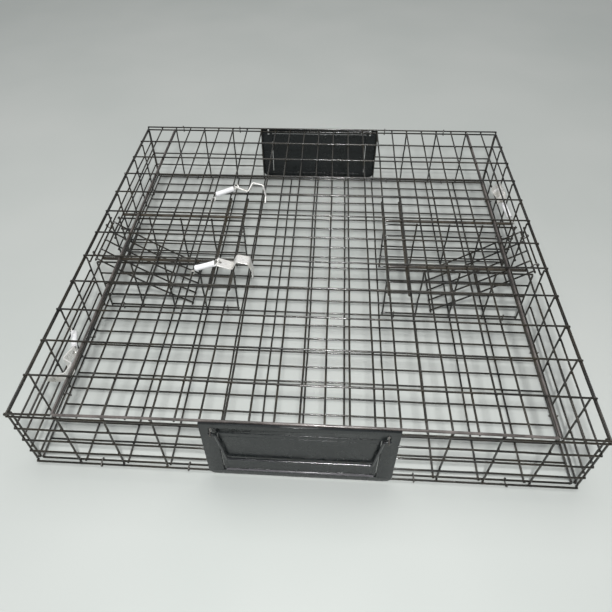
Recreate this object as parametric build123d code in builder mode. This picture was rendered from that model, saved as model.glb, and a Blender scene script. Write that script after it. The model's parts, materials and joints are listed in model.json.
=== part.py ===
from build123d import *
import math
import os

# Folding crab trap, millimetres. X runs left to right, Y front to back, Z up.
# The origin is the centre of the footprint on the floor.

# Driving dimensions -------------------------------------------------------------
CELL = 50.8                 # one mesh cell
CELLS = 12                  # cells along each side of the trap
WIRE = 2.4                  # coated mesh wire
BAR = 3.2                   # heavier rim bars
WELD_GAP = 0.05             # crossing wires stay separate solids this far apart
HINGE_REACH = 5.4           # from one hinged wire's centre to the other's
RING_WIRE = 1.6             # hog ring wire
RING_PLAY = 0.25            # room between a hinged wire and its hog ring

# Levels and offsets that follow from them ---------------------------------------
HALF = CELLS / 2 * CELL                          # outer wall wires
LAYER = WIRE + WELD_GAP                          # one wire lying on another
BASE_HALF = HALF - HINGE_REACH                   # edge wires of the base
BASE_CELL = 2 * BASE_HALF / CELLS
BASE_LOW = WIRE / 2                              # wires that lie on the floor
BASE_MID = BASE_LOW + LAYER                      # close wires across them
BASE_HIGH = BASE_MID + LAYER                     # edge wires of the two sides
END = WIRE / 2                                   # a wire ends this far past the last crossing
INNER = HALF - LAYER                             # upright wires, inside the long ones
WALL_TOP = 95.6
WALL_ROWS = 5                                    # long wires up each standing wall
LID_GAP = 0.3
LID_LOW = WALL_TOP + WIRE + LID_GAP              # lid wires running front to back
LID_HIGH = LID_LOW + LAYER                       # lid wires running across

DOOR_CELLS = 4
DOOR_HALF = DOOR_CELLS / 2 * CELL
DOOR_GAP = 0.6                                   # between a wall wire, the plate and the bail
PLATE_BACK = HALF + WIRE / 2 + DOOR_GAP
PLATE_THICK = 2.8
PLATE_FRONT = PLATE_BACK + PLATE_THICK
PLATE_LOW = 6.0
PLATE_HIGH = 103.0
PLATE_CORNER = 8.0
WINDOW_HALF = 84.0
WINDOW_LOW = 14.0
WINDOW_HIGH = 91.0
FLAP_GAP = 0.9
FLAP_THICK = 2.0
FLAP_AXIS_Z = 88.6
FLAP_PIN_R = 0.7
FLAP_PIN_LENGTH = 2.6
FLAP_LAND = 1.2                                  # flap above its pivot axis
PIN_PLAY = 0.05
PIN_END_PLAY = 0.4
BAIL_WIRE = 3.0
BAIL_Y = PLATE_FRONT + BAIL_WIRE / 2 + DOOR_GAP
BAIL_Z = 90.6
BAIL_TOP_HALF = 85.5
BAIL_LOW_HALF = 78.0
BAIL_DROP = 48.0
BAIL_STUB = 7.5
BAIL_BEND = 3.2
DOOR_RING_X = 90.0
DOOR_RING_THICK = 1.2
RING_SLOT_PLAY = 1.2                             # slot wider than its ring
RING_SLOT_HIGH = 10.6
RING_SLOT_Z = 93.3

TUNNEL_HALF = BASE_CELL                          # tunnel walls stand over base wires
TUNNEL_OUT = HALF - 14.0
TUNNEL_IN = 2 * CELL
TUNNEL_LOW = BASE_MID + HINGE_REACH
TUNNEL_TOP = 88.8
TUNNEL_COLUMNS = 5
COLUMN_INSET = 0.4                               # end columns, inside the long wires' ends
TUNNEL_RING_INSET = 18.0
YOKE_INSET = 10.0                                # rails stop this far inside the tunnel walls
YOKE_GAP = 0.4

LINTEL_Z = 89.0
LINTEL_X = INNER - LAYER
GATE_HALF = 44.0
GATE_SLOPE = 33.0
GATE_TIP_Z = 6.6
GATE_WIRES = 5
GATE_CROSSBARS = 5
GATE_RING_Y = 31.0

# Hook fasteners are drawn in a flat plane: local x runs from the anchor wire to the tip, local
# y away from the mesh. The anchor wire's centre is the local origin.
STRAP_POINTS = ((34.6, 19.6), (54.0, 12.6), (60.5, 25.8), (76.0, 22.6), (80.2, 6.0), (79.2, -3.0))
STRAP_BEND = 3.5
STRAP_WIDTH = 15.0
STRAP_THICK = 1.6
STRAP_HOLE_R = 2.2
STRAP_HOLE_AT = 4.2         # from the strap's spring end
STRAP_EYE_AT = 0.7          # centre of the eye that passes through the hole
STRAP_EYE_R = 3.2
SLEEVE_START = (5.2, 7.4)
SLEEVE_END = (31.6, 16.6)
SLEEVE_R = 4.0
SLEEVE_BORE = 3.3
COIL_R = 3.0
COIL_BORE = 2.0
COIL_INSET = 2.0            # coil ends, inside the sleeve's ends
PLUG_LENGTH = 1.0           # closed end turns of the coil
PLUG_STEP = 0.4
EYE_WIRE_R = 0.8
ANCHOR_EYE_R = 2.95
BACK_HOOK_ROLL = 33.0       # the back lid hook leans back
RIGHT_HOOK_ROLL = 45.0      # the right side hook leans up
SIDE_HOOK_Z = 61.85

os.makedirs("parts", exist_ok=True)


def save(builder, name):
    builder.part.label = name
    export_step(builder.part, "parts/" + name + ".step")


def spread(half, count):
    """Evenly spaced places from -half to half."""
    return [-half + 2 * half * i / (count - 1) for i in range(count)]


# Straight wires -----------------------------------------------------------------
def wires_x(places, start, end, size=WIRE):
    """Wires along X at each (y, z)."""
    with BuildPart() as run:
        with BuildSketch(Plane.YZ.offset(start)):
            with Locations(*places):
                Circle(size / 2)
        extrude(amount=end - start)
    return run.part


def wires_y(places, start, end, size=WIRE):
    """Wires along Y at each (x, z)."""
    with BuildPart() as run:
        with BuildSketch(Plane.XZ.offset(-end)):
            with Locations(*places):
                Circle(size / 2)
        extrude(amount=end - start)
    return run.part


def wires_z(places, start, end, size=WIRE):
    """Upright wires at each (x, y)."""
    with BuildPart() as run:
        with BuildSketch(Plane.XY.offset(start)):
            with Locations(*places):
                Circle(size / 2)
        extrude(amount=end - start)
    return run.part


def hog_rings(plane, first, second, stations):
    """Closed clips round two parallel wires, one at each station along the plane's normal."""
    reach = math.dist(first, second)
    turn = math.degrees(math.atan2(second[1] - first[1], second[0] - first[0]))
    middle = ((first[0] + second[0]) / 2, (first[1] + second[1]) / 2)
    bore = WIRE / 2 + RING_PLAY
    with BuildPart() as rings:
        for station in stations:
            with BuildSketch(plane.offset(station - RING_WIRE / 2)):
                with Locations(middle):
                    SlotCenterToCenter(reach, 2 * (bore + RING_WIRE), rotation=turn)
                    SlotCenterToCenter(reach, 2 * bore, rotation=turn, mode=Mode.SUBTRACT)
            extrude(amount=RING_WIRE)
    return rings.part


# Base -----------------------------------------------------------------------------
close_wires = wires_x(
    [(y, BASE_MID) for y in spread(BASE_HALF, 2 * CELLS + 1)], -BASE_HALF - END, BASE_HALF + END
)
floor_wires = wires_y(
    [(x, BASE_LOW) for x in spread(BASE_HALF, CELLS + 1)[1:-1]], -BASE_HALF - END, BASE_HALF + END
)
side_wires = wires_y(
    [(x, BASE_HIGH) for x in (-BASE_HALF, BASE_HALF)], -BASE_HALF - END, BASE_HALF + END
)
with BuildPart() as bottom_panel:
    add(close_wires)
    add(floor_wires)
    add(side_wires)
save(bottom_panel, "bottom_panel")

RING_STATIONS = [(k + 0.5) * CELL for k in (-5, -3, 2, 4)]
RING_STATIONS_Y = [(k + 0.25) * BASE_CELL for k in (-5, -3, 2, 4)]
for name, sign in (("front", -1), ("back", 1)):
    with BuildPart() as rings:
        add(hog_rings(Plane.YZ, (sign * BASE_HALF, BASE_MID), (sign * HALF, BASE_MID), RING_STATIONS))
    save(rings, name + "_hinge_rings")
for name, sign in (("left", -1), ("right", 1)):
    with BuildPart() as rings:
        add(hog_rings(Plane.XZ, (sign * BASE_HALF, BASE_HIGH), (sign * HALF, BASE_HIGH), RING_STATIONS_Y))
    save(rings, name + "_hinge_rings")


# Front and back walls, each with a doorway ---------------------------------------------
def end_wall(sign):
    rows = spread((WALL_TOP - BASE_MID) / 2, WALL_ROWS)
    heights = [row + (WALL_TOP + BASE_MID) / 2 for row in rows]
    full = [(sign * HALF, heights[0]), (sign * HALF, heights[-1])]
    broken = [(sign * HALF, z) for z in heights[1:-1]]
    columns = [x for x in spread(HALF, CELLS + 1) if abs(x) > DOOR_HALF - 1]
    through = wires_x(full, -HALF - END, HALF + END)
    left_rows = wires_x(broken, -HALF - END, -DOOR_HALF + END)
    right_rows = wires_x(broken, DOOR_HALF - END, HALF + END)
    uprights = wires_z([(x, sign * INNER) for x in columns], BASE_MID - END, WALL_TOP + END)
    with BuildPart() as wall:
        add(through)
        add(left_rows)
        add(right_rows)
        add(uprights)
    return wall


def door_frame(sign):
    """Moulded surround with a window, rounded lower corners and slots for the two rings."""
    near = min(sign * PLATE_BACK, sign * PLATE_FRONT)
    middle_z = (PLATE_LOW + PLATE_HIGH) / 2
    window_z = (WINDOW_LOW + WINDOW_HIGH) / 2
    with BuildPart() as frame:
        with BuildSketch(Plane.XZ.offset(-near - PLATE_THICK)):
            with Locations((0, middle_z)):
                outline = Rectangle(2 * DOOR_HALF, PLATE_HIGH - PLATE_LOW)
            fillet(outline.vertices().group_by(Axis.Z)[0], PLATE_CORNER)
            with Locations((0, window_z)):
                Rectangle(2 * WINDOW_HALF, WINDOW_HIGH - WINDOW_LOW, mode=Mode.SUBTRACT)
            with Locations((-DOOR_RING_X, RING_SLOT_Z), (DOOR_RING_X, RING_SLOT_Z)):
                Rectangle(RING_WIRE + RING_SLOT_PLAY, RING_SLOT_HIGH, mode=Mode.SUBTRACT)
        extrude(amount=PLATE_THICK)
        pivot_y = sign * (PLATE_BACK + PLATE_THICK / 2)
        pin_reach = WINDOW_HALF + FLAP_PIN_LENGTH + PIN_END_PLAY
        with BuildSketch(Plane.YZ.offset(-pin_reach)):
            with Locations((pivot_y, FLAP_AXIS_Z)):
                Circle(FLAP_PIN_R + PIN_PLAY)
        extrude(amount=2 * pin_reach, mode=Mode.SUBTRACT)
    return frame


def door_flap(sign):
    """One-way flap with a pivot pin at each end of its top edge."""
    half = WINDOW_HALF - FLAP_GAP
    low = WINDOW_LOW + FLAP_GAP
    high = FLAP_AXIS_Z + FLAP_LAND
    pivot_y = sign * (PLATE_BACK + PLATE_THICK / 2)
    with BuildPart() as flap:
        with BuildSketch(Plane.XZ.offset(-pivot_y - FLAP_THICK / 2)):
            with Locations((0, (low + high) / 2)):
                Rectangle(2 * half, high - low)
        extrude(amount=FLAP_THICK)
        with BuildSketch(Plane.YZ.offset(-WINDOW_HALF - FLAP_PIN_LENGTH)):
            with Locations((pivot_y, FLAP_AXIS_Z)):
                Circle(FLAP_PIN_R)
        extrude(amount=2 * (WINDOW_HALF + FLAP_PIN_LENGTH))
    return flap


def door_bail(sign):
    """Bent wire that hangs from the two rings across the flap."""
    low = BAIL_Z - BAIL_DROP
    with BuildPart() as bail:
        with BuildLine(Plane.XZ.offset(-sign * BAIL_Y)) as path:
            FilletPolyline(
                (-BAIL_TOP_HALF - BAIL_STUB, BAIL_Z),
                (-BAIL_TOP_HALF, BAIL_Z),
                (-BAIL_LOW_HALF, low),
                (BAIL_LOW_HALF, low),
                (BAIL_TOP_HALF, BAIL_Z),
                (BAIL_TOP_HALF + BAIL_STUB, BAIL_Z),
                radius=BAIL_BEND,
            )
        with BuildSketch(Plane(path.wire() @ 0, z_dir=path.wire() % 0)):
            Circle(BAIL_WIRE / 2)
        sweep()
    return bail


def door_rings(sign):
    """Rings that hang the bail from the wall's top wire, through the plate's slots."""
    bore = BAIL_WIRE / 2 + RING_PLAY
    top = (sign * HALF, WALL_TOP)
    low = (sign * BAIL_Y, BAIL_Z)
    turn = math.degrees(math.atan2(low[1] - top[1], low[0] - top[0]))
    middle = ((top[0] + low[0]) / 2, (top[1] + low[1]) / 2)
    with BuildPart() as rings:
        for station in (-DOOR_RING_X, DOOR_RING_X):
            with BuildSketch(Plane.YZ.offset(station - RING_WIRE / 2)):
                with Locations(middle):
                    SlotCenterToCenter(math.dist(top, low), 2 * (bore + DOOR_RING_THICK), rotation=turn)
                    SlotCenterToCenter(math.dist(top, low), 2 * bore, rotation=turn, mode=Mode.SUBTRACT)
            extrude(amount=RING_WIRE)
    return rings


for name, sign in (("front", -1), ("back", 1)):
    save(end_wall(sign), name + "_wall")
    save(door_frame(sign), name + "_door_frame")
    save(door_flap(sign), name + "_door_flap")
    save(door_bail(sign), name + "_door_bail")
    save(door_rings(sign), name + "_door_rings")


# Side walls, each with a tunnel mouth and a lintel wire for the gate ----------------------
def side_wall(sign):
    rows = spread((WALL_TOP - BASE_HIGH) / 2, WALL_ROWS)
    heights = [row + (WALL_TOP + BASE_HIGH) / 2 for row in rows]
    full = [(sign * HALF, heights[0]), (sign * HALF, heights[-1])]
    broken = [(sign * HALF, z) for z in heights[1:-1]]
    columns = [y for y in spread(BASE_HALF, CELLS + 1) if abs(y) > 1]
    through = wires_y(full, -BASE_HALF - END, BASE_HALF + END)
    front_rows = wires_y(broken, -BASE_HALF - END, -TUNNEL_HALF + END)
    back_rows = wires_y(broken, TUNNEL_HALF - END, BASE_HALF + END)
    lintel = wires_y([(sign * LINTEL_X, LINTEL_Z)], -TUNNEL_HALF - END, TUNNEL_HALF + END)
    uprights = wires_z([(sign * INNER, y) for y in columns], BASE_HIGH - END, WALL_TOP + END)
    with BuildPart() as wall:
        add(through)
        add(front_rows)
        add(back_rows)
        add(lintel)
        add(uprights)
    return wall


# Entry gate: slanting wires from the lintel down to the floor ------------------------------
def gate_point(sign, reach):
    """A point of the slanting gate, by its distance from the lintel's centre."""
    slope = math.radians(GATE_SLOPE)
    x = sign * (LINTEL_X - reach * math.cos(slope))
    return (x, LINTEL_Z - reach * math.sin(slope))


GATE_LENGTH = (LINTEL_Z - GATE_TIP_Z) / math.sin(math.radians(GATE_SLOPE))


def gate(sign):
    """Crossbars lie in the hinge plane, and the long wires lie on top of them."""
    slope = math.radians(GATE_SLOPE)
    step = (GATE_LENGTH - HINGE_REACH) / (GATE_CROSSBARS - 1)
    bars = [gate_point(sign, HINGE_REACH + i * step) for i in range(GATE_CROSSBARS)]
    crossbars = wires_y(bars, -GATE_HALF, GATE_HALF)
    start = gate_point(sign, HINGE_REACH - END)
    origin = (start[0] - sign * LAYER * math.sin(slope), 0, start[1] + LAYER * math.cos(slope))
    direction = (-sign * math.cos(slope), 0, -math.sin(slope))
    with BuildPart() as panel:
        with BuildSketch(Plane(origin, x_dir=(0, 1, 0), z_dir=direction)):
            with Locations(*[(y, 0) for y in spread(GATE_HALF - WIRE, GATE_WIRES)]):
                Circle(WIRE / 2)
        extrude(amount=GATE_LENGTH - HINGE_REACH + 2 * END)
        add(crossbars)
    return panel


def gate_rings(sign):
    with BuildPart() as rings:
        add(hog_rings(
            Plane.XZ, gate_point(sign, 0), gate_point(sign, HINGE_REACH), (-GATE_RING_Y, GATE_RING_Y)
        ))
    return rings


# Tunnel walls --------------------------------------------------------------------------
def tunnel_wall(side, sign):
    """Mesh wall from the side wall inwards, hinged along its lowest wire."""
    near = side * TUNNEL_OUT
    far = side * TUNNEL_IN
    rows = spread((TUNNEL_TOP - TUNNEL_LOW) / 2, WALL_ROWS)
    places = [(sign * TUNNEL_HALF, row + (TUNNEL_TOP + TUNNEL_LOW) / 2) for row in rows]
    steps = spread((TUNNEL_OUT - TUNNEL_IN) / 2 - END - COLUMN_INSET, TUNNEL_COLUMNS)
    columns = [(side * (TUNNEL_OUT + TUNNEL_IN) / 2 + x, sign * (TUNNEL_HALF + LAYER)) for x in steps]
    long_wires = wires_x(places, min(near, far), max(near, far))
    uprights = wires_z(columns, TUNNEL_LOW - END, TUNNEL_TOP + END)
    with BuildPart() as wall:
        add(long_wires)
        add(uprights)
    return wall


def tunnel_yoke(side):
    """Heavy bars under the lid that frame the inner end of a tunnel."""
    high = LID_LOW - WIRE - YOKE_GAP
    low = high - BAR - WELD_GAP
    rails = [(sign * TUNNEL_HALF, high) for sign in (-1, 1)]
    near = side * (TUNNEL_OUT - YOKE_INSET)
    far = side * (TUNNEL_IN - BAR / 2)
    long_bars = wires_x(rails, min(near, far), max(near, far), BAR)
    crossbars = wires_y([(side * 2 * CELL, low), (side * 2.5 * CELL, low)], -2 * CELL, 2 * CELL, BAR)
    with BuildPart() as yoke:
        add(long_bars)
        add(crossbars)
    return yoke


TUNNEL_STATIONS = [
    side * x for side in (-1, 1) for x in (TUNNEL_OUT - TUNNEL_RING_INSET, TUNNEL_IN + TUNNEL_RING_INSET)
]
tunnel_ring_rows = [
    hog_rings(Plane.YZ, (sign * TUNNEL_HALF, BASE_MID), (sign * TUNNEL_HALF, TUNNEL_LOW), TUNNEL_STATIONS)
    for sign in (-1, 1)
]
with BuildPart() as tunnel_rings:
    add(tunnel_ring_rows)
save(tunnel_rings, "tunnel_hinge_rings")

for name, side in (("left", -1), ("right", 1)):
    save(side_wall(side), name + "_wall")
    save(gate(side), name + "_gate")
    save(gate_rings(side), name + "_gate_rings")
    save(tunnel_yoke(side), name + "_tunnel_yoke")
    save(tunnel_wall(side, -1), name + "_tunnel_front_wall")
    save(tunnel_wall(side, 1), name + "_tunnel_back_wall")

# Lid -----------------------------------------------------------------------------------
RIM_HALF = 5 * CELL
lid_long = wires_y([(x, LID_LOW) for x in spread(HALF, 2 * CELLS + 1)], -HALF - END, HALF + END)
lid_across = wires_x([(y, LID_HIGH) for y in spread(HALF, CELLS + 1)[1:]], -HALF - END, HALF + END)
lid_stubs = [
    wires_x([(-HALF, LID_HIGH)], min(x, x + side), max(x, x + side))
    for x, side in ((-HALF - END, HALF - RIM_HALF), (HALF + END, RIM_HALF - HALF))
]
with BuildPart() as lid_panel:
    add(lid_long)
    add(lid_across)
    add(lid_stubs)
save(lid_panel, "lid_panel")

RIM_Z = LID_HIGH + (BAR - WIRE) / 2
rim_front = wires_x([(-HALF, RIM_Z)], -RIM_HALF, RIM_HALF, BAR)
rim_sides = wires_y(
    [(side * (RIM_HALF + WIRE + WELD_GAP), LID_LOW) for side in (-1, 1)], -HALF + WIRE, HALF - WIRE
)
with BuildPart() as lid_rim:
    add(rim_front)
    add(rim_sides)
save(lid_rim, "lid_rim")

LID_STATIONS = [(k + 0.25) * CELL for k in (-5, -3, 2, 4)]
with BuildPart() as lid_hinge_rings:
    add(hog_rings(Plane.YZ, (HALF, WALL_TOP), (HALF, LID_HIGH), LID_STATIONS))
save(lid_hinge_rings, "lid_hinge_rings")


# Hook fasteners ------------------------------------------------------------------------
def along(start, end, distance):
    """A point of the line from start towards end."""
    length = math.dist(start, end)
    return tuple(a + (b - a) * distance / length for a, b in zip(start, end))


def hook_plane(anchor, outward, away):
    """Plane with local x outward along the mesh and local y away from it."""
    normal = Vector(*outward).cross(Vector(*away))
    return Plane(anchor, x_dir=outward, z_dir=(normal.X, normal.Y, normal.Z))


def hook_tube(plane, outer, bore, start, end):
    """A tube between two points of the plane."""
    first = plane.from_local_coords(Vector(start[0], start[1], 0))
    last = plane.from_local_coords(Vector(end[0], end[1], 0))
    with BuildPart() as tube:
        with BuildSketch(Plane(first, z_dir=last - first)):
            Circle(outer)
            if bore:
                Circle(bore, mode=Mode.SUBTRACT)
        extrude(amount=math.dist(start, end))
    return tube


def eye_ring(plane, centre, radius):
    """A closed wire eye lying in the plane."""
    middle = plane.from_local_coords(Vector(centre[0], centre[1], 0))
    return Pos(middle.X, middle.Y, middle.Z) * (Plane((0, 0, 0), plane.x_dir, plane.z_dir).location
                                                * Torus(radius, EYE_WIRE_R))


def hook_spring(plane):
    """Closed coil as a tube, with an eye on the anchor wire and another through the strap."""
    coil_start = along(SLEEVE_START, SLEEVE_END, COIL_INSET)
    coil_end = along(SLEEVE_END, SLEEVE_START, COIL_INSET)
    coil = hook_tube(plane, COIL_R, COIL_BORE, coil_start, coil_end).part
    strap_eye = along(STRAP_POINTS[0], STRAP_POINTS[1], STRAP_EYE_AT)
    pieces = [coil]
    for near, far, eye, radius in (
        (coil_start, coil_end, (0, 0), ANCHOR_EYE_R),
        (coil_end, coil_start, strap_eye, STRAP_EYE_R),
    ):
        plug_end = along(near, far, PLUG_LENGTH)
        pieces.append(hook_tube(plane, COIL_R - PLUG_STEP, 0, near, plug_end).part)
        pieces.append(hook_tube(plane, EYE_WIRE_R, 0, along(eye, near, radius), plug_end).part)
        pieces.append(eye_ring(plane, eye, radius))
    with BuildPart() as spring:
        add(pieces)
    return spring


def hook_strap(plane):
    """Bent flat strap with a hole at the spring end and a turned-down tip."""
    hole = along(STRAP_POINTS[0], STRAP_POINTS[1], STRAP_HOLE_AT)
    run = Vector(*STRAP_POINTS[1]) - Vector(*STRAP_POINTS[0])
    centre = plane.from_local_coords(Vector(hole[0], hole[1], 0))
    across = plane.from_local_coords(Vector(hole[0] - run.Y, hole[1] + run.X, 0)) - centre
    with BuildPart() as strap:
        with BuildSketch(plane.offset(-STRAP_WIDTH / 2)):
            with BuildLine():
                FilletPolyline(*STRAP_POINTS, radius=STRAP_BEND)
                offset(amount=STRAP_THICK / 2, kind=Kind.ARC)
            make_face()
        extrude(amount=STRAP_WIDTH)
        with BuildSketch(Plane(centre, z_dir=across)):
            Circle(STRAP_HOLE_R)
        extrude(amount=2 * STRAP_THICK, both=True, mode=Mode.SUBTRACT)
    return strap


def leaning(first, second, roll):
    """The direction first, turned towards second by a roll in degrees."""
    turn = math.radians(roll)
    return tuple(a * math.cos(turn) + b * math.sin(turn) for a, b in zip(first, second))


HOOKS = {
    "lid_front_hook": ((-3 * CELL, -1.5 * CELL, LID_LOW), (1, 0, 0), (0, 0, 1)),
    "lid_back_hook": (
        (-3 * CELL, 1.75 * CELL, LID_LOW), (1, 0, 0), leaning((0, 0, 1), (0, 1, 0), BACK_HOOK_ROLL)
    ),
    "left_side_hook": ((-INNER, -3 * BASE_CELL, SIDE_HOOK_Z), (0, -1, 0), (1, 0, 0)),
    "right_side_hook": (
        (INNER, 2 * BASE_CELL, SIDE_HOOK_Z), (0, 1, 0), leaning((-1, 0, 0), (0, 0, 1), RIGHT_HOOK_ROLL)
    ),
}
for name, (anchor, outward, away) in HOOKS.items():
    plane = hook_plane(anchor, outward, away)
    save(hook_tube(plane, SLEEVE_R, SLEEVE_BORE, SLEEVE_START, SLEEVE_END), name + "_sleeve")
    save(hook_spring(plane), name + "_spring")
    save(hook_strap(plane), name + "_strap")
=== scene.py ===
import json
import math
import random

import bmesh
import bpy
import numpy as np
from mathutils import Matrix, Vector


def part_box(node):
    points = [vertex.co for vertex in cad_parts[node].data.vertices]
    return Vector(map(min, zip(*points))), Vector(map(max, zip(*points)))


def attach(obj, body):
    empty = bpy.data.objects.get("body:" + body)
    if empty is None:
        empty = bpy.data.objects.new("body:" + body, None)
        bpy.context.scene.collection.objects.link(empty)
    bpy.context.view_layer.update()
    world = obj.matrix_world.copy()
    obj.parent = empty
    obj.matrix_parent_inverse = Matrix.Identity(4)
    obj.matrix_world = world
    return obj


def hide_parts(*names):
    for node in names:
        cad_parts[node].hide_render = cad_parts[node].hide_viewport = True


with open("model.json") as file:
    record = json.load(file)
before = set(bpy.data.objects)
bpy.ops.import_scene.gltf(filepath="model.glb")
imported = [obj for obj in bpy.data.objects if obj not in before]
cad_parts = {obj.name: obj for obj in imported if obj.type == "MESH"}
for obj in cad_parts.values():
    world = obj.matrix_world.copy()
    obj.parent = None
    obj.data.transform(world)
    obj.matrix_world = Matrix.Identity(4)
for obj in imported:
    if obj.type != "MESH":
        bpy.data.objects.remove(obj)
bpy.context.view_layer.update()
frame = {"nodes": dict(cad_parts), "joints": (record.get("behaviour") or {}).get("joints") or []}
random.seed(24)
MM = 0.001

# Camera and light, in metres, degrees and watts ---------------------------------------
LENS = 32.3
CAMERA_SHIFT = (0.0206, 0.0303)
CAMERA_PLACE = (0.0223, -0.6038, 0.5725)
CAMERA_TURN = (43.03, 1.03, 3.71)
WORLD_STRENGTH = 0.42
FLASH_WATTS = 9
TOP_WATTS = 22
LEFT_WATTS = 4
FLOOR_DARK = (0.455, 0.48, 0.46)
FLOOR_LIGHT = (0.49, 0.51, 0.49)

# Sizes, in metres ------------------------------------------------------------------
WIRE_SIDES = 12
WIRE_STEP = 12.7 * MM            # a wire has a section this often
BOW = 0.75 * MM                  # how far a mesh wire wanders in its own panel
EDGE_BAND = 8 * MM               # wires this near a panel's edge stay straight
WELD_REACH = 0.4 * MM            # wires closer than this at a crossing are welded
WELD_SIZE = 1.75 * MM
GATE_SAG = {"left": 4 * MM, "right": 2 * MM}      # slack gates hang a little
YOKE_SWELL = 1.3                 # thick coating on the yoke bars
LID_ARCH = 4 * MM                # the lid's front edge rises this much in the middle
LID_ARCH_DEPTH = 150 * MM

HOG_WIRE_R = 0.8 * MM
HOG_GAP_TURN = 0.22              # share of a round end left open between a hog ring's tips

DOOR_RING_X = 90 * MM
SLOT_HALF = 1.4 * MM
SLOT_LOW = 88 * MM
SLOT_HIGH = 98.6 * MM
WINDOW_HALF = 84 * MM
WINDOW_LOW = 14 * MM
WINDOW_HIGH = 91 * MM
CORNER_R = 8 * MM
PLATE_RISE = {"front": 2.5 * MM, "back": -3 * MM}    # how the plates hang in their slots
LEAF_GAP = 0.9 * MM              # between a leaf and its window
PIN_R = 0.7 * MM
PIN_Z = 88.6 * MM
LIP_R = 1.4 * MM
BAIL_TOP_HALF = 85.5 * MM
BAIL_LOW_HALF = 78 * MM
BAIL_R = 1.5 * MM
BAIL_BEND = 3.2 * MM

STRAP_POINTS = [(34.6, 19.6), (54.0, 12.6), (60.5, 25.8), (76.0, 22.6), (80.2, 6.0), (79.2, -3.0)]
STRAP_BEND = 3.5
STRAP_HALF_THICK = 0.8 * MM
STRAP_HALF_WIDTH = 7.5 * MM
STRAP_TIP_X = 72 * MM            # past this the strap narrows
STRAP_TIP_DROP = 5 * MM
STRAP_TIP_SHARE = 0.62
STRAP_HOLE_R = 2.2 * MM
STRAP_HOLE_AT = 4.2
SLEEVE_BORE_R = 3.3 * MM
COIL_R = 2.5 * MM
COIL_WIRE_R = 0.5 * MM
COIL_TURNS = 26
COIL_STEPS = 14                  # sections in each turn
EYE_R = 0.8 * MM
ANCHOR_EYE_TURN = 2.95 * MM
STRAP_EYE_TURN = 3.2 * MM
STRAP_EYE_AT = 0.7

# Which way each hook fastener lies: along the mesh, and away from it.
HOOKS = {
    "lid_front_hook": ((1, 0, 0), (0, 0, 1)),
    "lid_back_hook": ((1, 0, 0), (0, math.sin(math.radians(33)), math.cos(math.radians(33)))),
    "left_side_hook": ((0, -1, 0), (1, 0, 0)),
    "right_side_hook": ((0, 1, 0), (-math.sqrt(0.5), 0, math.sqrt(0.5))),
}


# Camera ---------------------------------------------------------------------------
def make_camera():
    data = bpy.data.cameras.new("camera")
    data.sensor_width = 36
    data.lens = LENS
    data.shift_x = CAMERA_SHIFT[0]
    data.shift_y = CAMERA_SHIFT[1]
    data.clip_start = 0.01
    camera = bpy.data.objects.new("camera", data)
    camera.location = CAMERA_PLACE
    camera.rotation_euler = [math.radians(turn) for turn in CAMERA_TURN]
    bpy.context.scene.collection.objects.link(camera)
    bpy.context.scene.camera = camera


make_camera()


# Node helpers for the materials -------------------------------------------------------
class Shader:
    """A material with one Principled shader, and short ways to add noise and mixes."""

    def __init__(self, name):
        self.material = bpy.data.materials.new(name)
        self.material.use_nodes = True
        self.nodes = self.material.node_tree.nodes
        self.links = self.material.node_tree.links
        self.main = self.nodes["Principled BSDF"]
        self.place = self.nodes.new("ShaderNodeTexCoord").outputs["Object"]

    def set(self, **values):
        for key, value in values.items():
            self.main.inputs[key.replace("_", " ")].default_value = value

    def noise(self, scale, detail=4.0, stretch=(1, 1, 1)):
        mapping = self.nodes.new("ShaderNodeMapping")
        mapping.inputs["Scale"].default_value = stretch
        texture = self.nodes.new("ShaderNodeTexNoise")
        texture.inputs["Scale"].default_value = scale
        texture.inputs["Detail"].default_value = detail
        self.links.new(self.place, mapping.inputs["Vector"])
        self.links.new(mapping.outputs["Vector"], texture.inputs["Vector"])
        return texture.outputs["Fac"]

    def ramp(self, source, stops):
        """stops: (place, colour) pairs; a bare number is a grey."""
        node = self.nodes.new("ShaderNodeValToRGB")
        elements = node.color_ramp.elements
        while len(elements) < len(stops):
            elements.new(0.5)
        for element, (at, colour) in zip(elements, stops):
            element.position = at
            element.color = (*colour, 1) if isinstance(colour, tuple) else (colour, colour, colour, 1)
        self.links.new(source, node.inputs["Fac"])
        return node.outputs["Color"]

    def mix(self, factor, first, second):
        node = self.nodes.new("ShaderNodeMix")
        node.data_type = "RGBA"
        self.links.new(factor, node.inputs["Factor"])
        self.links.new(first, node.inputs[6])
        self.links.new(second, node.inputs[7])
        return node.outputs[2]

    def plug(self, source, socket):
        self.links.new(source, self.main.inputs[socket])

    def bump(self, source, strength, distance=0.0003):
        node = self.nodes.new("ShaderNodeBump")
        node.inputs["Strength"].default_value = strength
        node.inputs["Distance"].default_value = distance
        self.links.new(source, node.inputs["Height"])
        self.links.new(node.outputs["Normal"], self.main.inputs["Normal"])


def coated_wire(name, dark, dusty, rough=0.3):
    """Thick glossy vinyl coat with a brownish bloom, rubbed patches and slight ripples."""
    s = Shader(name)
    s.set(Metallic=0.0, Coat_Weight=0.45, Coat_Roughness=0.1, IOR=1.47)
    bloom = s.ramp(s.noise(38), [(0.36, 0.0), (0.66, 1.0)])
    base = s.ramp(s.noise(410, 6), [(0.3, dark), (0.7, tuple(c * 1.5 for c in dark))])
    dust = s.ramp(s.noise(900, 3), [(0.35, dusty), (0.75, tuple(c * 1.35 for c in dusty))])
    s.plug(s.mix(bloom, base, dust), "Base Color")
    s.plug(s.ramp(s.noise(120, 5), [(0.3, rough - 0.12), (0.75, rough + 0.12)]), "Roughness")
    s.bump(s.noise(700, 3), 0.35)
    return s.material


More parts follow.
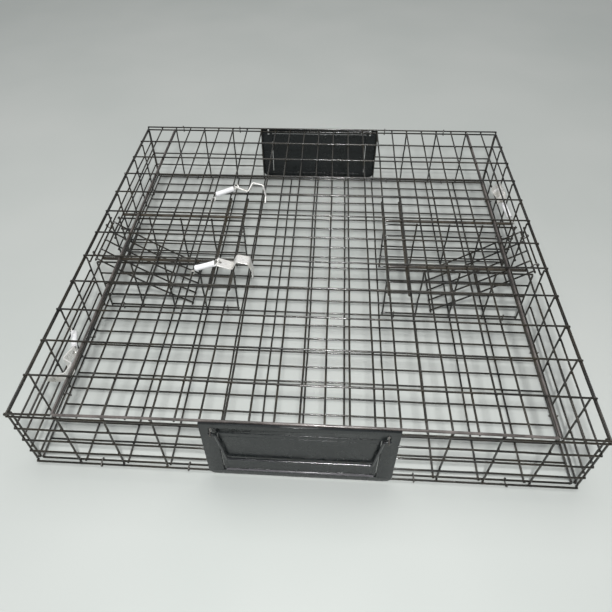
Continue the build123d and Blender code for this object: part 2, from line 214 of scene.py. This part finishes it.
def moulded_plastic(name, colour, light, rough, grain=2600):
    """Smooth moulding with a fine grain, faint flow streaks and scuffs."""
    s = Shader(name)
    s.set(Metallic=0.0, IOR=1.49, Coat_Weight=0.12, Coat_Roughness=0.2)
    streak = s.ramp(s.noise(22, 5, (1, 1, 6)), [(0.35, colour), (0.72, light)])
    scuffed = s.ramp(s.noise(260, 8, (1, 1, 0.15)), [(0.62, colour), (0.8, tuple(c * 2.2 for c in light))])
    marks = s.ramp(s.noise(60, 3), [(0.5, 0.0), (0.75, 0.6)])
    s.plug(s.mix(marks, streak, scuffed), "Base Color")
    s.plug(s.ramp(s.noise(90, 6), [(0.3, rough - 0.06), (0.75, rough + 0.14)]), "Roughness")
    s.bump(s.noise(grain, 2), 0.12, 0.0001)
    return s.material


def bare_metal(name, colour, tarnish, rough, stretch=(1, 1, 1), metallic=0.9):
    """Worn metal with drawn streaks and patches of tarnish."""
    s = Shader(name)
    s.set(Metallic=metallic)
    patches = s.ramp(s.noise(75, 6), [(0.5, 0.0), (0.78, 0.75)])
    bright = s.ramp(s.noise(500, 4, stretch), [(0.3, tuple(c * 0.86 for c in colour)), (0.7, colour)])
    dull = s.ramp(s.noise(240, 4), [(0.3, tarnish), (0.8, tuple(c * 1.3 for c in tarnish))])
    s.plug(s.mix(patches, bright, dull), "Base Color")
    s.plug(s.ramp(s.noise(190, 6, stretch), [(0.3, rough - 0.08), (0.75, rough + 0.16)]), "Roughness")
    s.bump(s.noise(1500, 3, stretch), 0.18, 0.0001)
    return s.material


MESH_COAT = coated_wire("mesh_coat", (0.004, 0.0038, 0.0028), (0.020, 0.016, 0.009), 0.22)
BAR_COAT = coated_wire("bar_coat", (0.038, 0.033, 0.030), (0.12, 0.105, 0.098), 0.22)
YOKE_COAT = coated_wire("yoke_coat", (0.015, 0.012, 0.008), (0.050, 0.040, 0.026), 0.3)
BAIL_COAT = coated_wire("bail_coat", (0.006, 0.007, 0.008), (0.012, 0.013, 0.015), 0.18)
HOG_STEEL = bare_metal("hog_ring_steel", (0.16, 0.15, 0.14), (0.035, 0.028, 0.022), 0.26)
DOOR_PLASTIC = moulded_plastic("door_plastic", (0.0065, 0.0085, 0.009), (0.011, 0.0135, 0.0145), 0.26)
# The lip's lighter grey is a painted highlight: the lip is the same dark plastic as the door, brightened to
# show light caught along it.
LIP_PAINTED_HIGHLIGHT = moulded_plastic("lip_plastic_painted_highlight", (0.085, 0.082, 0.088), (0.12, 0.115, 0.125), 0.16)
SLEEVE_PLASTIC = moulded_plastic("sleeve_plastic", (0.86, 0.865, 0.87), (0.76, 0.765, 0.775), 0.24)
SPRING_STEEL = bare_metal("spring_steel", (0.72, 0.71, 0.68), (0.30, 0.25, 0.19), 0.26)
STRAP_STEEL = bare_metal("strap_steel", (0.82, 0.81, 0.78), (0.60, 0.57, 0.50), 0.30, (1, 8, 1), 0.5)


# Mesh helpers -----------------------------------------------------------------------
def finish_piece(name, bm, material, body, slot, *nodes):
    """Makes a smooth-shaded object that rides on a body and stands for CAD nodes."""
    mesh = bpy.data.meshes.new(name)
    bmesh.ops.recalc_face_normals(bm, faces=bm.faces)
    bm.to_mesh(mesh)
    bm.free()
    for polygon in mesh.polygons:
        polygon.use_smooth = True
    mesh.materials.append(material)
    piece = bpy.data.objects.new(name, mesh)
    bpy.context.scene.collection.objects.link(piece)
    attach(piece, body)
    if nodes:
        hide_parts(*nodes)
    return piece


def sweep(bm, points, radii, sides=WIRE_SIDES, closed=False):
    """A round tube through points, with a radius at each."""
    count = len(points)
    points = [Vector(p) for p in points]
    rings = []
    normal = None
    for i, point in enumerate(points):
        before = points[i - 1] if closed or i > 0 else point
        after = points[(i + 1) % count] if closed or i < count - 1 else point
        tangent = (after - before).normalized()
        if normal is None:
            normal = tangent.orthogonal()
        normal = (normal - tangent * normal.dot(tangent)).normalized()
        side = tangent.cross(normal)
        ring = []
        for k in range(sides):
            turn = 2 * math.pi * k / sides
            ring.append(bm.verts.new(point + (normal * math.cos(turn) + side * math.sin(turn)) * radii[i]))
        rings.append(ring)
    pairs = list(zip(rings, rings[1:]))
    if closed:
        first = rings[0]
        last = rings[-1]
        shift = min(range(sides), key=lambda s: (first[s].co - last[0].co).length)
        pairs.append((last, first[shift:] + first[:shift]))
    for low, high in pairs:
        for k in range(sides):
            bm.faces.new((low[k], low[(k + 1) % sides], high[(k + 1) % sides], high[k]))
    if not closed:
        bm.faces.new(rings[0])
        bm.faces.new(rings[-1])


def domed(points, radius):
    """Points and radii of a wire whose coated tips are rounded off."""
    steps = ((0.0, 0.25), (0.2, 0.62), (0.55, 0.9), (1.0, 1.0))
    start = Vector(points[0])
    finish = Vector(points[-1])
    inward = (Vector(points[1]) - start).normalized()
    back = (Vector(points[-2]) - finish).normalized()
    path = [start + inward * radius * along for along, _ in steps]
    radii = [radius * share for _, share in steps]
    path += [Vector(p) for p in points[1:-1]]
    radii += [radius] * (len(points) - 2)
    path += [finish + back * radius * along for along, _ in reversed(steps)]
    radii += [radius * share for _, share in reversed(steps)]
    return path, radii


def rounded(corners, bend, steps=6, closed=False):
    """A 2D or 3D path whose corners are arcs of radius bend."""
    corners = [Vector(c) for c in corners]
    path = []
    count = len(corners)
    for i, corner in enumerate(corners):
        if not closed and i in (0, count - 1):
            path.append(corner)
            continue
        before = (corners[i - 1] - corner).normalized()
        after = (corners[(i + 1) % count] - corner).normalized()
        half = before.angle(after) / 2
        reach = bend / math.tan(half)
        middle = (before + after).normalized()
        centre = corner + middle * (bend / math.sin(half))
        start = corner + before * reach - centre
        finish = corner + after * reach - centre
        turn = start.angle(finish)
        for k in range(steps + 1):
            share = k / steps
            first = math.sin((1 - share) * turn) / math.sin(turn)
            second = math.sin(share * turn) / math.sin(turn)
            path.append(centre + start * first + finish * second)
    return path


def slab(loops, thickness, bevel):
    """A flat moulding from closed outlines, the first one solid and the others holes, with rounded
    edges. It lies in the XY plane, from z = 0 up."""
    curve = bpy.data.curves.new("outline", "CURVE")
    curve.dimensions = "2D"
    curve.fill_mode = "BOTH"
    curve.extrude = thickness / 2 - bevel
    curve.bevel_depth = bevel
    curve.bevel_resolution = 2
    curve.offset = -bevel
    for loop in loops:
        spline = curve.splines.new("POLY")
        spline.points.add(len(loop) - 1)
        for point, place in zip(spline.points, loop):
            point.co = (place[0], place[1], 0, 1)
        spline.use_cyclic_u = True
    holder = bpy.data.objects.new("outline", curve)
    mesh = bpy.data.meshes.new_from_object(holder)
    mesh.transform(Matrix.Translation((0, 0, thickness / 2)))
    bpy.data.objects.remove(holder)
    bm = bmesh.new()
    bm.from_mesh(mesh)
    bmesh.ops.remove_doubles(bm, verts=bm.verts, dist=1e-6)
    return bm


# Mesh panels --------------------------------------------------------------------------
class Strand:
    """One straight wire of a CAD node: its ends and radius."""

    def __init__(self, places):
        centre = places.mean(0)
        axis = np.linalg.svd(places - centre, full_matrices=False)[2][0]
        along = (places - centre) @ axis
        near = places[along < along.min() + 1e-4].mean(0)
        far = places[along > along.max() - 1e-4].mean(0)
        self.start = Vector(near)
        self.finish = Vector(far)
        self.length = (self.finish - self.start).length
        self.axis = (self.finish - self.start).normalized()
        across = (places - near) - np.outer((places - near) @ np.array(self.axis), np.array(self.axis))
        self.radius = float(np.linalg.norm(across, axis=1).max())
        self.bow = 0.0
        self.side = Vector((0, 0, 0))
        self.phases = [random.uniform(0, 2 * math.pi) for _ in range(3)]

    def sway(self, distance):
        """How far the wire wanders sideways at this distance from its start."""
        share = distance / self.length
        waves = (
            0.55 * math.sin(2 * math.pi * share * 1.1 + self.phases[0])
            + 0.3 * math.sin(2 * math.pi * share * 3.3 + self.phases[1])
            + 0.15 * math.sin(2 * math.pi * share * 7.9 + self.phases[2])
        )
        taper = min(1.0, 8 * share, 8 * (1 - share))
        return self.side * (self.bow * waves * max(taper, 0.0))

    def path(self):
        steps = max(3, int(self.length / WIRE_STEP))
        places = [i * self.length / steps for i in range(steps + 1)]
        return [self.start + self.axis * d + self.sway(d) for d in places]


def islands(node):
    """The separate solids of a CAD node, as arrays of places."""
    bm = bmesh.new()
    bm.from_mesh(frame["nodes"][node].data)
    bmesh.ops.remove_doubles(bm, verts=bm.verts, dist=2e-6)
    seen = set()
    found = []
    for seed in bm.verts:
        if seed in seen:
            continue
        stack = [seed]
        seen.add(seed)
        group = []
        while stack:
            vert = stack.pop()
            group.append(tuple(vert.co))
            for edge in vert.link_edges:
                other = edge.other_vert(vert)
                if other not in seen:
                    seen.add(other)
                    stack.append(other)
        found.append(np.array(group))
    bm.free()
    return found


def set_bows(strands, node, bow):
    """Gives every wire inside the panel a slight wander in the panel's own plane."""
    low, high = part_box(node)
    normal = Vector((0, 0, 0))
    for strand in strands[1:]:
        crossed = strands[0].axis.cross(strand.axis)
        if crossed.length > 0.5:
            normal = crossed.normalized()
            break
    for strand in strands:
        strand.side = normal.cross(strand.axis)
        middle = (strand.start + strand.finish) / 2
        inside = all(
            high[i] - middle[i] > EDGE_BAND and middle[i] - low[i] > EDGE_BAND
            for i in range(3) if abs(strand.side[i]) > 0.5
        )
        strand.bow = bow * random.uniform(0.5, 1.0) if inside else 0.0


def crossing(first, second):
    """Where two wires cross and touch, or None."""
    if abs(first.axis.dot(second.axis)) > 0.2:
        return None
    normal = first.axis.cross(second.axis).normalized()
    between = second.start - first.start
    gap = between.dot(normal)
    if abs(gap) > first.radius + second.radius + WELD_REACH:
        return None
    flat = between - normal * gap
    one = flat.dot(first.axis)
    two = -flat.dot(second.axis)
    if not (-MM < one < first.length + MM and -MM < two < second.length + MM):
        return None
    place = first.start + first.axis * one + first.sway(one) + second.sway(two)
    return place + normal * (gap * first.radius / (first.radius + second.radius)), normal


def weld_bead(bm, place, normal):
    """The web of coating that fills a crossing."""
    turn = normal.to_track_quat("Z", "Y").to_matrix().to_4x4()
    swell = WELD_SIZE * random.uniform(0.85, 1.2)
    shape = Matrix.Diagonal((swell, swell, 0.62 * swell, 1))
    bmesh.ops.create_icosphere(bm, subdivisions=1, radius=1, matrix=Matrix.Translation(place) @ turn @ shape)


def arch(bm, box):
    """Lifts the middle of the lid's front edge a little, as a loose mesh lid stands."""
    low, high = box
    for vert in bm.verts:
        share = 1 - (vert.co.y - low.y) / LID_ARCH_DEPTH
        if share > 0:
            vert.co.z += LID_ARCH * (1 - (vert.co.x / high.x) ** 2) * share * share


def sag(bm, side):
    """Lets a gate hang in a shallow curve between its hinge and its tip."""
    low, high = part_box(side + "_gate")
    for vert in bm.verts:
        share = (vert.co.x - low.x) / (high.x - low.x)
        vert.co.z -= GATE_SAG[side] * 4 * share * (1 - share)


def mesh_panel(node, body, material=MESH_COAT, slot="coated_wire", bow=BOW, arched=False, swell=1.0):
    strands = [Strand(places) for places in islands(node)]
    set_bows(strands, node, bow)
    bm = bmesh.new()
    for strand in strands:
        sweep(bm, *domed(strand.path(), strand.radius * swell))
    for i, first in enumerate(strands):
        for second in strands[i + 1:]:
            found = crossing(first, second)
            if found:
                weld_bead(bm, *found)
    if arched:
        arch(bm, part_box("lid_panel"))
    if node.endswith("_gate"):
        sag(bm, node.removesuffix("_gate"))
    finish_piece(node + "_wires", bm, material, body, slot, node)


mesh_panel("bottom_panel", "base")
mesh_panel("lid_panel", "lid", arched=True)
mesh_panel("lid_rim", "lid", BAR_COAT, "rim_bars", 0.0, True)
for side in ("front", "back", "left", "right"):
    mesh_panel(side + "_wall", side + "_wall")
for side in ("left", "right"):
    mesh_panel(side + "_gate", side + "_gate", bow=0.5 * BOW)
    mesh_panel(side + "_tunnel_yoke", "lid", YOKE_COAT, "rim_bars", 0.0, swell=YOKE_SWELL)
    mesh_panel(side + "_tunnel_front_wall", side + "_tunnel_front_wall")
    mesh_panel(side + "_tunnel_back_wall", side + "_tunnel_back_wall")


# Hog rings ------------------------------------------------------------------------------
def hog_ring(bm, places):
    """A bent wire ring with a butted gap, in the outline of one CAD clip."""
    centre = places.mean(0)
    axes = np.linalg.svd(places - centre, full_matrices=False)[2]
    spans = [(places - centre) @ axis for axis in axes]
    sizes = [span.max() - span.min() for span in spans]
    centre = centre + sum(axis * (span.max() + span.min()) / 2 for axis, span in zip(axes, spans))
    turn = sizes[1] / 2 - HOG_WIRE_R
    half = (sizes[0] - sizes[1]) / 2
    long_axis = Vector(axes[0])
    cross_axis = Vector(axes[1])
    skew = Vector(axes[2]) * 0.35 * MM
    path = []
    for end in (1, -1):
        for k in range(13):
            angle = math.pi * (k / 12 - 0.5)
            if end == -1 and angle > math.pi * (0.5 - HOG_GAP_TURN):
                continue
            along = end * (half + turn * math.cos(angle))
            across = end * turn * math.sin(angle)
            drift = skew * ((len(path) - 12) / 12)
            path.append(Vector(centre) + long_axis * along + cross_axis * across + drift)
    sweep(bm, *domed(path, HOG_WIRE_R), sides=10)


def ring_piece(node, body):
    bm = bmesh.new()
    for places in islands(node):
        hog_ring(bm, places)
    finish_piece(node + "_bent", bm, HOG_STEEL, body, "hog_rings", node)


for name in ("front_hinge_rings", "back_hinge_rings", "left_hinge_rings", "right_hinge_rings",
             "tunnel_hinge_rings"):
    ring_piece(name, "base")
ring_piece("lid_hinge_rings", "back_wall")
for side in ("left", "right"):
    ring_piece(side + "_gate_rings", side + "_gate_rings")
for side in ("front", "back"):
    ring_piece(side + "_door_rings", side + "_wall")


# Doors -----------------------------------------------------------------------------------
def to_side(side):
    """Doors are drawn at the front; a half turn carries one to the back."""
    return Matrix.Rotation(math.pi if side == "back" else 0.0, 4, "Z")


def stand_up(bm, side, front_y):
    """Turns a slab drawn in X and Z so that its outer face is at front_y of the front door, and
    carries it to the back for the back door."""
    upright = Matrix.Translation((0, front_y, 0)) @ Matrix.Rotation(math.radians(90), 4, "X")
    bmesh.ops.transform(bm, matrix=to_side(side) @ upright, verts=bm.verts)


def add_ridge(bm, corners, bend, radius, y, side, closed=True):
    """A moulded bead along a path in X and Z."""
    path = [to_side(side) @ Vector((p[0], y, p[1])) for p in rounded(corners, bend, 5, closed)]
    if closed:
        sweep(bm, path, [radius] * len(path), 8, True)
    else:
        sweep(bm, *domed(path, radius), sides=8)


def door_surround(side):
    low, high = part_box("front_door_frame")
    half = high.x
    top = high.z + PLATE_RISE[side]
    lower = [
        Vector((half - CORNER_R + CORNER_R * math.sin(t), low.z + CORNER_R - CORNER_R * math.cos(t)))
        for t in (math.pi / 2 * k / 8 for k in range(9))
    ]
    outline = [Vector((-p.x, p.y)) for p in reversed(lower)] + lower
    outline += [Vector((half, top)), Vector((-half, top))]
    slots = [
        [(x - SLOT_HALF, SLOT_LOW), (x - SLOT_HALF, SLOT_HIGH), (x + SLOT_HALF, SLOT_HIGH),
         (x + SLOT_HALF, SLOT_LOW)]
        for x in (-DOOR_RING_X, DOOR_RING_X)
    ]
    window = [
        (-WINDOW_HALF, WINDOW_LOW), (WINDOW_HALF, WINDOW_LOW), (WINDOW_HALF, WINDOW_HIGH),
        (-WINDOW_HALF, WINDOW_HIGH),
    ]
    hole = rounded(window, 2.5 * MM, 5, True)
    bm = slab([outline, list(reversed(hole))] + slots, high.y - low.y, 0.45 * MM)
    stand_up(bm, side, high.y)
    rim = [(x * 1.008, z) for x, z in window]
    add_ridge(bm, rim, 2.5 * MM, 0.5 * MM, low.y + 0.05 * MM, side)
    finish_piece(side + "_door_surround", bm, DOOR_PLASTIC, side + "_wall", "door_plastic",
                 side + "_door_frame")


def door_leaf(side):
    low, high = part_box("front_door_flap")
    half = WINDOW_HALF - LEAF_GAP
    corners = [(-half, low.z), (half, low.z), (half, high.z), (-half, high.z)]
    bm = slab([rounded(corners, 1.5 * MM, 5, True)], high.y - low.y, 0.4 * MM)
    stand_up(bm, side, high.y)
    panel = [(x * 0.955, z) for x, z in corners]
    panel = [(x, z + (3.6 * MM if z < 0.05 else -6 * MM)) for x, z in panel]
    add_ridge(bm, panel, 3 * MM, 0.35 * MM, low.y + 0.1 * MM, side)
    pin_y = (low.y + high.y) / 2
    for sign in (-1, 1):
        reaches = (half - 3 * MM, half + MM, half + 3.2 * MM)
        ends = [to_side(side) @ Vector((sign * x, pin_y, PIN_Z)) for x in reaches]
        sweep(bm, *domed(ends, PIN_R), sides=10)
    finish_piece(side + "_door_leaf", bm, DOOR_PLASTIC, side + "_flap", "door_plastic",
                 side + "_door_flap")


def door_lip(side):
    """The glossy pull lip along the bottom of a door leaf, its lighter grey a painted highlight on the dark
    door plastic.
    """
    low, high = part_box("front_door_flap")
    half = high.x - 5 * MM
    z = low.z + LIP_R
    bm = bmesh.new()
    add_ridge(bm, [(-half, z), (half, z)], 0, LIP_R, low.y, side, False)
    finish_piece(side + "_door_lip", bm, LIP_PAINTED_HIGHLIGHT, side + "_flap", "door_plastic")


def door_wire(side):
    low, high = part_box("front_door_bail")
    y = (low.y + high.y) / 2
    top = high.z - BAIL_R
    bottom = low.z + BAIL_R
    corners = [
        (-high.x, top), (-BAIL_TOP_HALF, top), (-BAIL_LOW_HALF, bottom),
        (BAIL_LOW_HALF, bottom), (BAIL_TOP_HALF, top), (high.x, top),
    ]
    path = [to_side(side) @ Vector((p[0], y, p[1])) for p in rounded(corners, BAIL_BEND, 8)]
    bm = bmesh.new()
    sweep(bm, *domed(path, BAIL_R), sides=16)
    finish_piece(side + "_door_wire", bm, BAIL_COAT, side + "_bail", "bail_wire", side + "_door_bail")


for side in ("front", "back"):
    door_surround(side)
    door_leaf(side)
    door_lip(side)
    door_wire(side)


# Hook fasteners ------------------------------------------------------------------------------
def hook_frame(name):
    """Local x along the mesh, y away from it and z across, from the centre of the anchor wire."""
    outward, away = HOOKS[name]
    joint = next(j for j in frame["joints"] if j["name"] == name + "_swing")
    x = Vector(outward)
    y = Vector(away)
    z = x.cross(y)
    turn = Matrix((x, y, z)).transposed().to_4x4()
    return Matrix.Translation(joint["pos_m"]) @ turn


def lathe(bm, start, axis, profile, sides=28):
    """Turns (distance, radius) pairs about an axis, as a closed ring-shaped body."""
    normal = axis.orthogonal().normalized()
    side = axis.cross(normal)
    rings = []
    for distance, radius in profile:
        centre = start + axis * distance
        ring = []
        for k in range(sides):
            turn = 2 * math.pi * k / sides
            ring.append(bm.verts.new(centre + (normal * math.cos(turn) + side * math.sin(turn)) * radius))
        rings.append(ring)
    for low, high in zip(rings, rings[1:] + rings[:1]):
        for k in range(sides):
            bm.faces.new((low[k], low[(k + 1) % sides], high[(k + 1) % sides], high[k]))


def sleeve(name):
    """White plastic tube with rolled lips and a slight waist."""
    tube = Strand(islands(name + "_sleeve")[0])
    inner = SLEEVE_BORE_R
    outer = tube.radius
    lip = 0.5 * MM
    outside = [
        (0, inner + 0.2 * MM), (0.1 * MM, outer - lip), (lip, outer), (2.2 * MM, outer),
        (3.2 * MM, outer - 0.22 * MM), (tube.length / 2, outer - 0.34 * MM),
        (tube.length - 3.2 * MM, outer - 0.22 * MM), (tube.length - 2.2 * MM, outer),
        (tube.length - lip, outer), (tube.length - 0.1 * MM, outer - lip), (tube.length, inner + 0.2 * MM),
    ]
    inside = [(tube.length - lip, inner), (tube.length / 2, inner), (lip, inner)]
    bm = bmesh.new()
    lathe(bm, tube.start, tube.axis, outside + inside)
    finish_piece(name + "_tube", bm, SLEEVE_PLASTIC, name, "sleeve_plastic", name + "_sleeve")
    return tube


def spring(name, tube):
    """Close-wound coil, an eye on the anchor wire and another through the strap."""
    place = hook_frame(name)
    anchor = place.translation
    start, finish = tube.start, tube.finish
    if (start - anchor).length > (finish - anchor).length:
        start, finish = finish, start
    axis = (finish - start).normalized()
    normal = place.to_3x3() @ Vector((0, 0, 1))
    side = axis.cross(normal)
    length = (finish - start).length
    coil = []
    for k in range(COIL_TURNS * COIL_STEPS + 1):
        share = k / (COIL_TURNS * COIL_STEPS)
        turn = share * COIL_TURNS * 2 * math.pi
        radius = COIL_R * min(1, 0.3 + 9 * min(share, 1 - share))
        coil.append(start + axis * length * (0.02 + 0.96 * share)
                    + (normal * math.cos(turn) + side * math.sin(turn)) * radius)
    bm = bmesh.new()
    sweep(bm, *domed(coil, COIL_WIRE_R), sides=7)
    first = Vector((*STRAP_POINTS[0], 0))
    second = Vector((*STRAP_POINTS[1], 0))
    strap_eye = place @ ((first + (second - first).normalized() * STRAP_EYE_AT) * MM)
    for centre, radius, leg in ((anchor, ANCHOR_EYE_TURN, start), (strap_eye, STRAP_EYE_TURN, finish)):
        x = (leg - centre).normalized()
        y = x.cross(normal)
        loop = [
            centre + (x * math.cos(t) + y * math.sin(t)) * radius + normal * (0.5 * MM * (t / math.pi - 1))
            for t in (2 * math.pi * k / 28 for k in range(29))
        ]
        into = axis if leg is start else -axis
        sweep(bm, *domed([leg + into * 2 * MM, leg + into * 0.5 * MM] + loop, EYE_R), sides=10)
    finish_piece(name + "_coil", bm, SPRING_STEEL, name, "spring_steel", name + "_spring")


def drill(piece):
    """Cuts the round hole near the start of a strap that still lies in its own frame."""
    first = Vector((*STRAP_POINTS[0], 0))
    run = (Vector((*STRAP_POINTS[1], 0)) - first).normalized()
    hole = (first + run * STRAP_HOLE_AT) * MM
    aim = Vector((-run.y, run.x, 0)).to_track_quat("Z", "Y").to_matrix().to_4x4()
    bm = bmesh.new()
    bmesh.ops.create_cone(
        bm, cap_ends=True, segments=28, radius1=STRAP_HOLE_R, radius2=STRAP_HOLE_R, depth=8 * MM,
        matrix=Matrix.Translation(hole) @ aim,
    )
    mesh = bpy.data.meshes.new("drill")
    bm.to_mesh(mesh)
    bm.free()
    bit = bpy.data.objects.new("drill", mesh)
    bpy.context.scene.collection.objects.link(bit)
    cut = piece.modifiers.new("hole", "BOOLEAN")
    cut.operation = "DIFFERENCE"
    cut.solver = "EXACT"
    cut.object = bit
    bpy.context.view_layer.update()
    piece.data = bpy.data.meshes.new_from_object(
        piece.evaluated_get(bpy.context.evaluated_depsgraph_get())
    )
    piece.modifiers.clear()
    bpy.data.objects.remove(bit)
    for polygon in piece.data.polygons:
        polygon.use_smooth = False


def strap(name):
    """Bent flat strap: a valley, a crest and a narrower turned-down tip, with a drilled hole."""
    centre_line = [p.to_3d() * MM for p in rounded([Vector(p) for p in STRAP_POINTS], STRAP_BEND, 8)]
    left = []
    right = []
    for i, point in enumerate(centre_line):
        before = centre_line[max(i - 1, 0)]
        after = centre_line[min(i + 1, len(centre_line) - 1)]
        tangent = (after - before).normalized()
        offset = Vector((-tangent.y, tangent.x, 0)) * STRAP_HALF_THICK
        left.append(point + offset)
        right.append(point - offset)
    profile = [(p.x, p.y) for p in left + list(reversed(right))]
    bm = slab([profile], 2 * STRAP_HALF_WIDTH, 0.25 * MM)
    bmesh.ops.transform(bm, matrix=Matrix.Translation((0, 0, -STRAP_HALF_WIDTH)), verts=bm.verts)
    tip_start = STRAP_POINTS[3][1] * MM - STRAP_TIP_DROP
    for vert in bm.verts:
        if vert.co.x > STRAP_TIP_X and vert.co.y < tip_start:
            vert.co.z *= STRAP_TIP_SHARE
    piece = finish_piece(name + "_hook", bm, STRAP_STEEL, name, "strap_steel", name + "_strap")
    drill(piece)
    piece.data.transform(hook_frame(name))


for name in HOOKS:
    spring(name, sleeve(name))
    strap(name)


# Floor and light ----------------------------------------------------------------------------
def make_floor():
    bm = bmesh.new()
    bmesh.ops.create_grid(bm, x_segments=8, y_segments=8, size=4)
    mesh = bpy.data.meshes.new("floor")
    bm.to_mesh(mesh)
    bm.free()
    s = Shader("floor_paper")
    s.set(Roughness=0.85, IOR=1.4)
    s.plug(s.ramp(s.noise(3.5, 2), [(0.3, FLOOR_DARK), (0.7, FLOOR_LIGHT)]), "Base Color")
    mesh.materials.append(s.material)
    floor = bpy.data.objects.new("floor", mesh)
    bpy.context.scene.collection.objects.link(floor)


def area_light(name, place, aim, size, watts, tint=(1, 1, 1)):
    data = bpy.data.lights.new(name, "AREA")
    data.shape = "RECTANGLE"
    data.size = size[0]
    data.size_y = size[1]
    data.energy = watts
    data.color = tint
    light = bpy.data.objects.new(name, data)
    light.location = place
    light.rotation_euler = (Vector(aim) - Vector(place)).to_track_quat("-Z", "Y").to_euler()
    bpy.context.scene.collection.objects.link(light)


def make_light():
    world = bpy.data.worlds.new("studio")
    world.use_nodes = True
    world.node_tree.nodes["Background"].inputs["Color"].default_value = (0.95, 0.97, 1.0, 1)
    world.node_tree.nodes["Background"].inputs["Strength"].default_value = WORLD_STRENGTH
    bpy.context.scene.world = world
    area_light("flash", (0.04, -0.72, 0.9), (0, 0.1, 0), (0.08, 0.08), FLASH_WATTS)
    area_light("top", (0.0, 0.6, 2.3), (0, 0.3, 0), (1.8, 1.2), TOP_WATTS, (1, 0.985, 0.96))
    area_light("left", (-1.5, -0.3, 0.9), (0, 0, 0), (0.7, 0.7), LEFT_WATTS)


make_floor()
make_light()
bpy.context.scene.view_settings.view_transform = "Standard"
